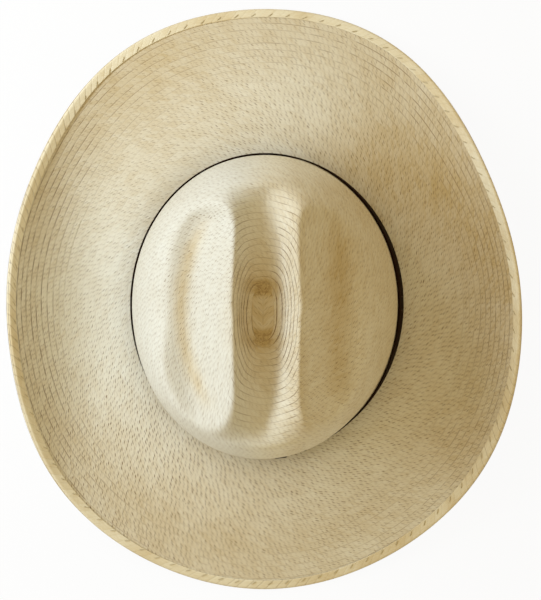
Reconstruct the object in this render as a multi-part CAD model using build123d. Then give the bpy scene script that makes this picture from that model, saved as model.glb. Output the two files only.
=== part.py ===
from build123d import *
import math
import os

# Straw western hat. Millimetres, +Z up. The origin is the centre of the head opening, on the plane of the
# brim break, where the crown's wall meets the brim. The front of the hat faces -Y, the wearer's left is +X.

# ---- Crown -------------------------------------------------------------------------------------------------
crown_width = 177.0          # outside of the crown's foot, side to side
crown_length = 197.0         # outside of the crown's foot, front to back
straw = 1.6                  # thickness of one layer of sewn braid
dome_height = 116.0          # top of the open crown, before it is creased
side_fullness = 1.9          # how square the dome's shoulder is at the sides, 2 being an ellipse
front_fullness = 4.4
back_fullness = 8.5
wall_lean_x = 2.6            # the hand-blocked wall leans to the wearer's left and to the back
wall_lean_y = 2.2
end_bulge = 1.1              # front and back walls stand out this much and the side walls fall in
lean_rise = 25.0             # height over which the lean and bulge come in
tip_share = 0.27             # where the side of the crown meets its tip, as a share of the way up
row_gap = 0.2                # between the side's last row and the tip's first
crease_softness = 3.4        # roundness of the ridges between the creases

# ---- Centre crease -----------------------------------------------------------------------------------------
trough_floor = 90.0          # lowest height of the trough's floor
trough_end_rise = 3.0        # the floor rises this much towards both ends
trough_half_width = 8.0      # half of the flat floor at its widest
trough_offset = -0.5         # the trough lies a little to the wearer's right
trough_taper = 0.85          # share of that width lost towards both ends
trough_front = -71.0         # where the floor turns up to the closed front end
trough_back = 72.0           # where the floor starts to run out over the back
trough_front_slope = 1.5
trough_back_slope = 0.3
ridge_reach = 20.6           # distance of each ridge from the middle of the trough
ridge_spread = 0.5           # the ridges stand this much further out at the back than at the front
ridge_pinch = 3.0            # height of the pinched ridges over the open dome
ridge_width = 10.0

# ---- Side dents --------------------------------------------------------------------------------------------
dent_floor = 81.0            # height of the dents' deepest line
dent_reach = 45.5            # widest distance of that line from the middle of the hat
dent_pinch = 8.0             # how much closer to the middle it runs at the front
dent_widest = 12.0           # where along the hat it is widest
dent_span = 80.0             # length over which it pinches in
dent_inner_slope = 1.3       # flank from the ridge down to the dent
dent_outer_slope = 0.12      # lip that rises a little outside the dent
dent_front = -54.0
dent_back = 58.0
dent_front_slope = 1.5
dent_back_slope = 0.5

# ---- Start patch of the braid, in the bottom of the trough -------------------------------------------------
patch_width = 13.0
patch_length = 31.0
patch_centre_x = 1.6
patch_centre_y = 5.8
patch_squareness = 0.8       # 1 is an oval, less is squarer
patch_gap = 0.25
patch_level_share = 0.12     # share of the crown round the patch that levels out to meet it

# ---- Brim --------------------------------------------------------------------------------------------------
brim_reach = 88.7            # mean width of the brim in plan, from the crown's foot to the edge
front_lead = 2.3             # the front is this much wider than the mean, and the back this much narrower
front_lead_turn = -41.0      # direction of the widest part, degrees from +X
end_lead = 11.4              # front and back are wider than the sides
end_lead_turn = -87.3
three_lobes = 2.6            # unevenness of the hand-trimmed outline, with its direction
three_lobes_turn = 33.0
four_lobes = 1.5
four_lobes_turn = -38.9
edge_drop = 20.0             # front and back edges dip this far below the brim break
side_lift = 40.0             # side edges curl up this far above it
curl_sharpness = 1.4         # keeps the curl off the front and back
roll_depth = 6.0             # the sides sag this much before they curl up
curl_power = 2.8
dip_power = 1.5
break_gap = 0.2              # between the crown's foot and the brim under it

# ---- Folded braid at the edge ------------------------------------------------------------------------------
fold_width = 7.0
fold_thickness = 0.9
fold_gap = 0.15              # between the folded braid and the brim inside it

# ---- Thread ------------------------------------------------------------------------------------------------
stitch_pitch = 12.0
stitch_length = 4.0
stitch_width = 0.8
stitch_height = 0.5
stitch_slant = 35.0          # degrees from the seam's run
thread_gap = 0.1             # between a stitch and the face under it

# ---- Hatband -----------------------------------------------------------------------------------------------
band_height = 12.0
band_thickness = 1.0
band_lift = 1.6              # gap between the band and the brim
band_gap = 0.3               # gap between the band's upper edge and the crown
band_slack = 2.0             # the band's lower edge stands out this much more on the wearer's right
band_join_turn = 96.0        # where the band's end laps over its start, degrees from +X
band_lap = 34.0              # length of the lap
lap_gap = 0.15
keeper_width = 8.0
keeper_thickness = 0.8
keeper_gap = 0.25
tack_turns = (0.0, 80.0, 180.0, 270.0)   # where the band is tacked, degrees from +X
tack_spread = 8.0
tack_length = 5.0
band_section_count = 72      # cross-sections along the band

# ---- Sweatband ---------------------------------------------------------------------------------------------
sweatband_height = 38.0
sweatband_thickness = 1.1
sweatband_gap = 0.3          # gap between the sweatband and the crown
sweatband_lift = 0.4         # gap between the reed and the sweatband
seam_gap = 0.8               # butt seam at the back
seam_margin = 4.0            # from the sweatband's lower edge to its row of stitches
seam_stitch_pitch = 5.0
sweatband_ring_count = 5     # steps up the sweatband's face
reed_diameter = 1.6
reed_gap = 0.3
bow_span = 24.0
bow_height = 9.0
bow_thickness = 2.4
bow_knot = 5.0
bow_turn = 8.0               # degrees that the loops turn towards the head, to follow the band's curve
bow_gap = 0.2

# ---- Modelling fineness ------------------------------------------------------------------------------------
crown_point_count = 72       # points round each ring of the crown
side_ring_count = 7          # steps up the side of the crown
tip_ring_count = 18          # steps from there to the start patch
ring_crowding = 1.15         # above 1, rings lie closer together round the start patch
ring_point_count = 44        # points round every other ring
brim_ring_count = 9          # steps across the brim


# ---- Shape of the hat --------------------------------------------------------------------------------------
def soft_ramp(distance, roundness):
    """Zero below the start, then a straight rise, with a rounded corner of the given size."""
    if distance > 30 * roundness:
        return distance
    return roundness * math.log1p(math.exp(distance / roundness))


def soft_lowest(heights, softness):
    """The lowest of several heights, rounded where two of them cross."""
    lowest = min(heights)
    return lowest - softness * math.log(sum(math.exp((lowest - h) / softness) for h in heights))


def foot(turn):
    """Outside of the crown's foot, a plain oval."""
    return crown_width / 2 * math.cos(turn), crown_length / 2 * math.sin(turn)


def fullness(turn):
    end_fullness = back_fullness if math.sin(turn) > 0 else front_fullness
    return side_fullness + (end_fullness - side_fullness) * math.sin(turn) ** 2


def leaned(x, y, height):
    """Plan place of a point of the open crown after the wall's lean and bulge."""
    share = 1 - math.exp(-(height / lean_rise) ** 2)
    turn = math.atan2(y / crown_length, x / crown_width)
    bulge = -end_bulge * math.cos(2 * turn)
    lean_x = wall_lean_x + bulge * 2 * x / crown_width
    lean_y = wall_lean_y + bulge * 2 * y / crown_length
    return x + share * lean_x, y + share * lean_y


def open_dome(x, y):
    """Height of the crown before it is creased, over a plan point inside its foot."""
    reach = min(math.hypot(2 * x / crown_width, 2 * y / crown_length), 1.0)
    direction = math.atan2(y / crown_length, x / crown_width)
    return dome_height * math.sqrt(1 - reach ** fullness(direction))


def trough(x, y):
    """Surface of the centre crease: a flat floor and two walls that meet the dome along the ridges."""
    middle = (trough_front + trough_back) / 2
    half_length = (trough_back - trough_front) / 2
    to_end = min(((y - middle) / half_length) ** 2, 1.0)
    half_width = trough_half_width * (1 - trough_taper * to_end)
    ridge = ridge_reach + ridge_spread * y / crown_length
    front_rise = trough_front_slope * soft_ramp(trough_front - y, trough_half_width / 4)
    back_rise = trough_back_slope * soft_ramp(y - trough_back, trough_half_width)
    floor = trough_floor + trough_end_rise * to_end + front_rise + back_rise
    wall_slope = soft_ramp(open_dome(ridge, y) - floor, crease_softness) / (ridge - half_width)
    across = abs(x - trough_offset)
    return floor + wall_slope * soft_ramp(across - half_width, trough_half_width / 5)


def ridge_lift(x, y):
    """How far the pinched ridges stand above the open dome."""
    across = (abs(x - trough_offset) - ridge_reach) / ridge_width
    middle = (trough_front + trough_back) / 2
    past_end = (abs(y - middle) - (trough_back - trough_front) / 2) / ridge_width
    return ridge_pinch * math.exp(-across * across) / (1 + math.exp(2 * past_end))


def dent(x, y, side):
    """Surface of one side dent: the flank below the ridge, the deepest line and the lip outside it."""
    line = dent_reach - dent_pinch * ((y - dent_widest) / dent_span) ** 2
    across = side * x - line
    inner_rise = dent_inner_slope * soft_ramp(-across, crease_softness)
    outer_rise = dent_outer_slope * soft_ramp(across, crease_softness)
    front_rise = dent_front_slope * soft_ramp(dent_front - y, crease_softness)
    back_rise = dent_back_slope * soft_ramp(y - dent_back, 2 * crease_softness)
    return dent_floor + inner_rise + outer_rise + front_rise + back_rise


def patch_outline(turn, margin=0.0):
    """Outline of the start patch, a squared oval."""
    cosine, sine = math.cos(turn), math.sin(turn)
    x = (patch_width / 2 + margin) * math.copysign(abs(cosine) ** patch_squareness, cosine)
    y = (patch_length / 2 + margin) * math.copysign(abs(sine) ** patch_squareness, sine)
    return patch_centre_x + x, patch_centre_y + y


def crown_outside(turn, share):
    """Outside of the creased crown, from the foot at share 0 to the rim round the start patch at share 1."""
    foot_x, foot_y = foot(turn)
    rim_x, rim_y = patch_outline(turn, patch_gap)
    if share <= 0:
        return foot_x, foot_y, 0.0
    if share >= 1:
        return rim_x, rim_y, trough_floor
    scale = math.cos(share * math.pi / 2) ** ring_crowding
    x = rim_x - wall_lean_x + (foot_x - rim_x + wall_lean_x) * scale
    y = rim_y - wall_lean_y + (foot_y - rim_y + wall_lean_y) * scale
    dome = open_dome(x, y)
    x, y = leaned(x, y, dome)
    creases = [trough(x, y), dent(x, y, 1), dent(x, y, -1)]
    height = soft_lowest([dome + ridge_lift(x, y), *creases], crease_softness)
    level = min(scale / patch_level_share, 1.0)
    level = level * level * (3 - 2 * level)
    return x, y, trough_floor + (height - trough_floor) * level


def normal_of(surface, turn, share):
    """Unit normal of a surface(turn, share), on its outer or upper side, found from its two slopes."""
    step = 1e-4
    low, high = max(share - step, 0.0), min(share + step, 1.0)
    around = Vector(surface(turn + step, share)) - Vector(surface(turn - step, share))
    inward = Vector(surface(turn, high)) - Vector(surface(turn, low))
    return around.cross(inward).normalized()


def crown_inside(turn, share):
    x, y, z = crown_outside(turn, share)
    if share >= 1:
        return x, y, z - straw
    normal = normal_of(crown_outside, turn, share)
    if share <= 0:
        flat = Vector(normal.X, normal.Y, 0).normalized()
        return x - straw * flat.X, y - straw * flat.Y, 0.0
    return tuple(Vector(x, y, z) - normal * straw)


def wall_contour(turn, height):
    """Plan outline of the crown's wall at a height below its creases."""
    scale = (1 - (height / dome_height) ** 2) ** (1 / fullness(turn))
    x, y = foot(turn)
    return leaned(x * scale, y * scale, height)


def wall_frame(turn, height):
    """Place on the wall's outside at a height, with its level outward direction."""
    step = 1e-3
    x, y = wall_contour(turn, height)
    ahead, behind = wall_contour(turn + step, height), wall_contour(turn - step, height)
    outward = Vector(ahead[1] - behind[1], behind[0] - ahead[0], 0).normalized()
    return Vector(x, y, height), outward


def wall(turn, height, outward_by):
    place, outward = wall_frame(turn, height)
    return tuple(place + outward * outward_by)


def edge_reach(direction):
    """Plan distance of the brim's edge from the middle of the hat."""
    foot_reach = crown_width * crown_length / 2 / math.hypot(
        crown_length * math.cos(direction), crown_width * math.sin(direction)
    )
    lobes = [
        (1, front_lead, front_lead_turn),
        (2, end_lead, end_lead_turn),
        (3, three_lobes, three_lobes_turn),
        (4, four_lobes, four_lobes_turn),
    ]
    uneven = sum(size * math.cos(count * (direction - math.radians(turn))) for count, size, turn in lobes)
    return foot_reach + brim_reach + uneven


def brim_top(turn, share):
    """Top of the brim, from the crown's foot at share 0 to the edge at share 1."""
    foot_x, foot_y = foot(turn)
    direction = math.atan2(foot_y, foot_x)
    reach = edge_reach(direction)
    x = foot_x + (reach * math.cos(direction) - foot_x) * share
    y = foot_y + (reach * math.sin(direction) - foot_y) * share
    curl = (math.cos(direction) ** 2) ** curl_sharpness
    dip = edge_drop * (1 - curl) + roll_depth * curl
    lift = (side_lift + roll_depth) * curl
    return x, y, lift * share ** curl_power - dip * share ** dip_power - break_gap


def brim_offset(turn, share, up):
    """Point of the brim at a distance above its top surface, or below it if up is negative."""
    if share <= 0:
        return (*foot(turn), up - break_gap)
    return tuple(Vector(brim_top(turn, share)) + brim_normal(turn, share) * up)


def brim_normal(turn, share):
    return normal_of(brim_top, turn, share) * -1


def from_edge(turn, inward, up):
    """Point at a distance in from the brim's edge, measured along its slope, and up from its top surface."""
    step = 1e-3
    stretch = (Vector(brim_top(turn, 1.0)) - Vector(brim_top(turn, 1.0 - step))).length / step
    return brim_offset(turn, 1 - inward / stretch, up)


# ---- Building solids from rings ----------------------------------------------------------------------------
def ring(place, count=ring_point_count):
    """Smooth closed ring through place(turn) at evenly spaced turns."""
    points = [place(2 * math.pi * i / count) for i in range(count)]
    knots = [float(i) for i in range(count + 1)]
    return Wire([Edge.make_spline(points, periodic=True, parameters=knots)])


def ring_solid(groups, halved=True):
    """Solid whose skin is a chain of faces, each one smooth through its own group of rings.

    Each group starts with the ring that the one before it ended with, and the last ends with the first ring.
    A face that closes on itself is cut in halves on the hat's middle plane, unless halved is False.
    """
    faces = []
    for rings in groups:
        closed = Shell.make_loft(rings, ruled=len(rings) == 2).face()
        faces += closed.split(Plane.YZ, keep=Keep.ALL) if halved else [closed]
    return Solid(Shell(faces))


def save(name, shape):
    export_step(shape, f"parts/{name}.step")
    print(name, "solids", len(shape.solids()), "volume", round(shape.volume))


os.makedirs("parts", exist_ok=True)


# ---- Side and tip of the crown, and the start patch --------------------------------------------------------
def make_crown_layer(low_share, high_share, steps):
    shares = [low_share + (high_share - low_share) * i / steps for i in range(steps + 1)]
    outside = [ring(lambda turn, s=s: crown_outside(turn, s), crown_point_count) for s in shares]
    inside = [ring(lambda turn, s=s: crown_inside(turn, s), crown_point_count) for s in shares]
    groups = [outside, [outside[-1], inside[-1]], inside[::-1], [inside[0], outside[0]]]
    return ring_solid(groups, halved=False)


def make_start_patch():
    turns = [2 * math.pi * i / ring_point_count for i in range(ring_point_count)]
    rim = [(*patch_outline(turn), trough_floor - straw) for turn in turns]
    outline = Wire([Edge.make_spline(rim, periodic=True)])
    return extrude(Face(outline), straw)


save("crown_side", make_crown_layer(0, tip_share, side_ring_count))
save("crown_tip", make_crown_layer(tip_share + row_gap / crown_length, 1, tip_ring_count))
save("crown_start_patch", make_start_patch())


# ---- Brim and the folded braid round its edge --------------------------------------------------------------
def make_brim():
    """Brim from under the crown's wall out to the inside of the folded braid."""
    rim_gap = fold_thickness + fold_gap

    def seat_ring(height):
        return ring(lambda turn: (*crown_inside(turn, 0)[:2], height))

    def layer(up):
        shares = [i / brim_ring_count for i in range(brim_ring_count)]
        rings = [ring(lambda turn, s=s: brim_offset(turn, s, up)) for s in shares]
        return rings + [ring(lambda turn: from_edge(turn, rim_gap, up))]

    top, bottom = layer(0), layer(-straw)
    seat_top, seat_bottom = seat_ring(-break_gap), seat_ring(-straw - break_gap)
    return ring_solid([
        [seat_top, top[0]],
        top,
        [top[-1], bottom[-1]],
        bottom[::-1],
        [bottom[0], seat_bottom],
        [seat_bottom, seat_top],
    ])


def make_edge_braid():
    """Braid folded over the brim's edge: two flat legs and a round nose."""
    leg = straw / 2 + fold_gap + fold_thickness
    hollow = straw / 2 + fold_gap

    def edge_ring(inward, up_from_middle):
        return ring(lambda turn: from_edge(turn, inward, up_from_middle - straw / 2))

    nose_angles = [math.radians(a) for a in (60, 30, 0, -30, -60)]
    nose = [edge_ring(leg * (1 - math.cos(a)), leg * math.sin(a)) for a in nose_angles]
    leg_stops = [fold_width, (2 * fold_width + leg) / 3, (fold_width + 2 * leg) / 3, leg]
    top_leg = [edge_ring(inward, leg) for inward in leg_stops]
    bottom_leg = [edge_ring(inward, -leg) for inward in reversed(leg_stops)]
    top_lip, bottom_lip = edge_ring(fold_width, hollow), edge_ring(fold_width, -hollow)
    top_corner, bottom_corner = edge_ring(fold_thickness, hollow), edge_ring(fold_thickness, -hollow)
    return ring_solid([
        top_leg + nose + bottom_leg,
        [bottom_leg[-1], bottom_lip],
        [bottom_lip, bottom_corner],
        [bottom_corner, top_corner],
        [top_corner, top_lip],
        [top_lip, top_leg[0]],
    ])


def make_edge_stitches():
    """Short slanted stitches on top of the folded braid, just outside its lip."""
    rise = fold_gap + fold_thickness + thread_gap + stitch_height / 2
    inward = fold_width - stitch_length / 2
    girth = math.pi * (crown_width + crown_length + 4 * brim_reach) / 2
    count = int(girth / stitch_pitch)
    stitches = []
    for i in range(count):
        turn = 2 * math.pi * i / count
        place = Vector(from_edge(turn, inward, rise))
        along = (Vector(from_edge(turn + 1e-3, inward, rise)) - place).normalized()
        up = brim_normal(turn, 1 - inward / brim_reach)
        seat = Plane(place, x_dir=along, z_dir=up).rotated((0, 0, stitch_slant))
        stitches.append(seat * Box(stitch_length, stitch_width, stitch_height))
    return Compound(children=stitches)


save("brim", make_brim())
save("brim_edge_braid", make_edge_braid())
save("brim_edge_stitches", make_edge_stitches())


# ---- Hatband -----------------------------------------------------------------------------------------------
def band_plane(turn):
    """Upright plane across the band: X outward, Y up, from the wall at the band's lower edge."""
    place, outward = wall_frame(turn, band_lift)
    return Plane(place, x_dir=outward, z_dir=outward.cross(Vector(0, 0, 1)))


def band_foot_gap(turn):
    """Gap between the crown and the band's lower edge."""
    return band_gap + band_slack * max(-math.cos(turn), 0.0) ** 2


def band_inset(turn):
    """How far the band's upper edge lies inside its lower edge."""
    low, outward = wall_frame(turn, band_lift)
    high = wall_frame(turn, band_lift + band_height)[0]
    return (low - high).dot(outward) + band_foot_gap(turn) - band_gap


def make_hatband():
    """One strip that goes round the crown and laps over its own start."""
    start = math.radians(band_join_turn) - band_lap / crown_width
    lap_turn = 2 * band_lap / crown_width
    sections = []
    for i in range(band_section_count + 1):
        travel = (2 * math.pi + lap_turn) * i / band_section_count
        turn = start + travel
        climb = (travel - 2 * math.pi + lap_turn) / lap_turn
        climb = min(max(climb, 0.0), 1.0)
        step_out = (band_thickness + lap_gap) * climb * climb * (3 - 2 * climb)
        inner = band_foot_gap(turn) + step_out
        outer = inner + band_thickness
        inset = band_inset(turn)
        corners = [(inner, 0), (outer, 0), (outer - inset, band_height), (inner - inset, band_height)]
        plane = band_plane(turn)
        sections.append(Wire.make_polygon([plane.from_local_coords(c) for c in corners]))
    return Solid.make_loft(sections)


def make_keeper():
    """Leather loop over the lap, leaning with the wall: a front and two arms that reach back to the crown."""
    turn = math.radians(band_join_turn)
    lean = -band_inset(turn) / band_height

    def outline(outer, low, high):
        corners = [(band_gap, low), (outer, low), (outer, high), (band_gap, high)]
        return Polygon(*[(out + lean * up, up) for out, up in corners], align=None)

    stack = band_foot_gap(turn) + 2 * band_thickness + lap_gap + keeper_gap
    margin = keeper_gap + keeper_thickness
    loop = outline(stack + keeper_thickness, -margin, band_height + margin)
    hollow = outline(stack, -keeper_gap, band_height + keeper_gap)
    return extrude(band_plane(turn) * (loop - hollow), keeper_width / 2, both=True)


def make_tack_stitches():
    """Pairs of thread tacks over the band's face at the front, the back and both sides."""
    tacks = []
    for side_turn in tack_turns:
        for side in (-1, 1):
            turn = math.radians(side_turn) + side * tack_spread / crown_width
            face = band_foot_gap(turn) + band_thickness + thread_gap + stitch_height / 2
            plane = band_plane(turn)
            lean = math.degrees(math.atan2(band_inset(turn), band_height))
            place = plane.from_local_coords((face - band_inset(turn) / 2, band_height / 2))
            seat = Plane(place, x_dir=plane.x_dir, z_dir=plane.z_dir).rotated((0, 0, lean))
            tacks.append(seat * Box(stitch_height, tack_length, stitch_width))
    return Compound(children=tacks)


save("hatband", make_hatband())
save("hatband_keeper", make_keeper())
save("hatband_tack_stitches", make_tack_stitches())


# ---- Sweatband ---------------------------------------------------------------------------------------------
def make_seam_slot(heights):
    """Narrow slot up through the back of the sweatband, leaning with the wall."""
    low, *between, high = heights
    places = [wall_frame(math.pi / 2, z)[0] for z in (low - seam_gap, *between, high + seam_gap)]
    one_side = [(place.X - seam_gap / 2, place.Z) for place in places]
    other_side = [(place.X + seam_gap / 2, place.Z) for place in reversed(places)]
    outline = Polygon(*one_side, *other_side, align=None)
    return extrude(Plane.XZ.offset(-crown_length / 2) * outline, 5 * sweatband_thickness + 2 * straw, both=True)


def make_sweatband():
    """Leather band inside the crown's wall, open at the butt seam."""
    step = sweatband_height / sweatband_ring_count
    heights = [sweatband_lift + step * i for i in range(sweatband_ring_count + 1)]
    outer_by = -straw - sweatband_gap
    inner_by = outer_by - sweatband_thickness
    outside = [ring(lambda turn, z=z: wall(turn, z, outer_by)) for z in heights]
    inside = [ring(lambda turn, z=z: wall(turn, z, inner_by)) for z in heights]
    band = ring_solid([outside, [outside[-1], inside[-1]], inside[::-1], [inside[0], outside[0]]])
    return band - make_seam_slot(heights)


def make_reed():
    """Round reed that runs round inside the brim break."""
    radius = reed_diameter / 2
    middle_by = -straw - reed_gap - radius

    def reed_ring(angle):
        x, z = radius * math.cos(math.radians(angle)), radius * math.sin(math.radians(angle))

        def place(turn):
            px, py, _ = wall(turn, 0, middle_by + x)
            return px, py, z - straw / 2 - break_gap

        return ring(place)

    outer_half = [reed_ring(a) for a in (90, 45, 0, -45, -90)]
    inner_half = [outer_half[-1]] + [reed_ring(a) for a in (-135, -180, -225)] + [outer_half[0]]
    return ring_solid([outer_half, inner_half])


def sweatband_seat(turn, height, off):
    """Upright plane on the sweatband's inner face: X along the band, Z towards the head."""
    place, outward = wall_frame(turn, height)
    above = wall_frame(turn, height + 1)[0]
    inner_by = straw + sweatband_gap + sweatband_thickness + off
    lean = (above - place).normalized()
    along = outward.cross(lean).normalized()
    return Plane(place - outward * inner_by, x_dir=along, z_dir=along.cross(lean))


def make_sweatband_stitches():
    girth = math.pi * (crown_width + crown_length) / 2
    count = int(girth / stitch_pitch)
    off = thread_gap + stitch_height / 2
    turns = [2 * math.pi * (i + 0.5) / count + math.pi / 2 for i in range(count)]
    seats = [sweatband_seat(turn, sweatband_lift + seam_margin, off) for turn in turns]
    return Compound(children=[seat * Box(stitch_length, stitch_width, stitch_height) for seat in seats])


def make_seam_stitches():
    """Cross stitches over the butt seam, above the bow."""
    low = sweatband_lift + seam_margin + bow_height + seam_stitch_pitch
    high = sweatband_lift + sweatband_height - seam_stitch_pitch / 2
    count = int((high - low) / seam_stitch_pitch) + 1
    off = thread_gap + stitch_height / 2
    stitches = []
    for i in range(count):
        seat = sweatband_seat(math.pi / 2, low + i * seam_stitch_pitch, off)
        slant = stitch_slant if i % 2 else -stitch_slant
        stitches.append(seat.rotated((0, 0, slant)) * Box(stitch_length, stitch_width, stitch_height))
    return Compound(children=stitches)


def make_bow():
    """Small flat ribbon bow: two flared loops that follow the band's curve, and a knot between them."""
    seat = sweatband_seat(math.pi / 2, sweatband_lift + seam_margin + bow_height / 2, bow_gap)
    half = bow_span / 2
    knot = Box(bow_knot, bow_height / 2, bow_thickness, align=(Align.CENTER, Align.CENTER, Align.MIN))
    flare, root = bow_height / 2, bow_height / 6
    outline = Polyline((0, -root), (half, -flare), (half, flare), (0, root), close=True)
    loop = Rot(0, -bow_turn, 0) * extrude(make_face(outline), bow_thickness * 0.75)
    return seat * (knot + loop + mirror(loop, Plane.YZ))


save("sweatband", make_sweatband())
save("sweatband_reed", make_reed())
save("sweatband_stitches", make_sweatband_stitches())
save("sweatband_seam_stitches", make_seam_stitches())
save("sweatband_bow", make_bow())
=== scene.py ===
import math

import bpy
import numpy as np
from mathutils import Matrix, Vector


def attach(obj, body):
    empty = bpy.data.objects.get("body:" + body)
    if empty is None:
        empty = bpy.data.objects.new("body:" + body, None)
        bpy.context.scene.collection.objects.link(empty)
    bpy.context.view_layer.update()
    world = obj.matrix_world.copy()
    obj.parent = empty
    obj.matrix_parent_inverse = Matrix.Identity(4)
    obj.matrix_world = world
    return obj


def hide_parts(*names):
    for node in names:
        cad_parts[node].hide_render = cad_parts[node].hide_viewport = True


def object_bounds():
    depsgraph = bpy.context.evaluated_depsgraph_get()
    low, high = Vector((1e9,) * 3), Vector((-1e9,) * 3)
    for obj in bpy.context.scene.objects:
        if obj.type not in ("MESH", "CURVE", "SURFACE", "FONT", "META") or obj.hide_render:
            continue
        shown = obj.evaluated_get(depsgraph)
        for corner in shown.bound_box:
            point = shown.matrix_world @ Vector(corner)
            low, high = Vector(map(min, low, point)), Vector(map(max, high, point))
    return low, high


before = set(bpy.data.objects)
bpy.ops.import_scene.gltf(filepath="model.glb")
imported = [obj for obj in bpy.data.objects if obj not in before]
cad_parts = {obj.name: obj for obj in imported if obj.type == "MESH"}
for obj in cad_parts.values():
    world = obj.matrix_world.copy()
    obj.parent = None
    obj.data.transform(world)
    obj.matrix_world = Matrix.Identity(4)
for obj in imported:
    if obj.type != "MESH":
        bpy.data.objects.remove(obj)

cad_low, cad_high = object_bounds()

# Straw western hat. Lengths are in millimetres, as in the CAD source, and each mesh is made in metres. The
# camera, the floor and the lamp are in metres. Angles are in degrees among the driving sizes and in radians
# elsewhere. The hat's front faces -Y, and turns round it start at the wearer's left, +X, and go to the back.

# ---- Camera, straight above
CAMERA_PLACE = (-0.003, -0.0023, 1.2)
SENSOR_LENGTH = 36  # millimetres, along the picture's longer side
VIEW_LENGTH = 0.4  # metres seen along that side, at the height of the brim break
scene = bpy.context.scene
camera = bpy.data.objects.new("camera", bpy.data.cameras.new("camera"))
camera.location = CAMERA_PLACE
camera.rotation_euler = (0, 0, math.pi)
camera.data.lens = SENSOR_LENGTH * CAMERA_PLACE[2] / VIEW_LENGTH
scene.collection.objects.link(camera)
scene.camera = camera
scene.view_settings.view_transform = "Standard"

# ---- Driving sizes, the same as in the CAD source
crown_width, crown_length, straw, dome_height = 177.0, 197.0, 1.6, 116.0
side_fullness, front_fullness, back_fullness = 1.9, 4.4, 8.5
wall_lean_x, wall_lean_y, end_bulge, lean_rise = 2.6, 2.2, 1.1, 25.0
crease_softness = 3.4

trough_floor, trough_half_width, trough_offset, trough_taper = 90.0, 8.0, -0.5, 0.85
trough_end_rise = 3.0
trough_front, trough_back, trough_front_slope, trough_back_slope = -71.0, 72.0, 1.5, 0.3
ridge_reach, ridge_spread, ridge_pinch, ridge_width = 20.6, 0.5, 3.0, 10.0

dent_floor, dent_reach, dent_pinch, dent_widest, dent_span = 81.0, 45.5, 8.0, 12.0, 80.0
dent_inner_slope, dent_outer_slope = 1.3, 0.12
dent_front, dent_back, dent_front_slope, dent_back_slope = -54.0, 58.0, 1.5, 0.5

patch_width, patch_length, patch_squareness = 13.0, 31.0, 0.8
patch_centre_x, patch_centre_y = 1.6, 5.8
patch_gap, patch_level_share = 0.25, 0.12

# Each lobe of the brim's outline is a number of waves, their size and the degrees that they are turned by.
# The first four are the CAD source's. The three smallest are only here.
brim_reach = 88.7
brim_lobes = ((1, 2.3, -41.0), (2, 11.4, -87.3), (3, 2.6, 33.0), (4, 1.5, -38.9),
              (5, 0.5, 24.0), (6, 0.5, 0.0), (7, 0.7, -11.6))
edge_drop, side_lift, curl_sharpness, roll_depth = 20.0, 40.0, 1.4, 6.0
curl_power, dip_power, break_gap = 2.8, 1.5, 0.2
fold_width, fold_thickness, fold_gap = 7.0, 0.9, 0.15

stitch_pitch, stitch_length, stitch_width, stitch_height, stitch_slant = 12.0, 4.0, 0.8, 0.5, 35.0
thread_gap = 0.1

band_height, band_thickness, band_lift, band_gap, band_slack = 12.0, 1.0, 1.6, 0.3, 2.0
band_join_turn, band_lap, lap_gap = 96.0, 34.0, 0.15
keeper_width, keeper_thickness, keeper_gap = 8.0, 0.8, 0.25
tack_turns, tack_spread, tack_length = (0.0, 80.0, 180.0, 270.0), 8.0, 5.0

sweatband_height, sweatband_thickness, sweatband_gap, sweatband_lift = 38.0, 1.1, 0.3, 0.4
seam_gap, seam_margin, seam_stitch_pitch = 0.8, 4.0, 5.0
reed_diameter, reed_gap = 1.6, 0.3
bow_span, bow_height, bow_thickness, bow_knot, bow_turn, bow_gap = 24.0, 9.0, 2.4, 5.0, 8.0, 0.2

# ---- Braid
ROW_PITCH = 4.1  # visible width of one sewn row
STRAND_PITCH = 3.25  # along the row, from strand to strand
STRAND_SLANT = 39.0  # degrees between a strand and its row
CROWN_ROWS = 42
TIP_ROWS = 26  # rows of the crown's tip, the rest being its side
BRIM_ROWS = 22
ROW_TILT = 0.12  # each row lies a little lower where the row inside it covers it
GROOVE_DEPTH = 0.15  # at both sides of a row
GROOVE_WIDTH = 0.05  # as a share of the row
STRAND_RELIEF = 0.16  # depth between two strands
SINK = 0.06  # added depth below the smooth surface, and how far that wanders
ROW_WAVER, STRAND_WAVER = 0.15, 0.5
FINE_SPACING, COARSE_SPACING = 0.75, 1.0  # between points, on the outside and underneath
PATCH_OVERLAP = 0.35  # how far the start patch's braid reaches past the gap round it
LEAF_LENGTH, LEAF_SLANT, EDGE_SPACING = 6.7, 0.9, 0.7  # of the folded braid at the brim's edge
PATCH_SINK, STITCH_SINK, LEATHER_PLAY, SWEATBAND_WAVE = 0.05, 0.2, 0.02, 0.12
LIP_ROUNDING, STRAP_ROUNDING, LOOP_ROUNDING, SWEATBAND_ROUNDING = 0.35, 0.4, 0.25, 0.45
KEEPER_BEND, BOW_CLOTH, BOW_CREASE, HALF_RIBBON = 0.7, 0.3, 0.12, 0.12

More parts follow.
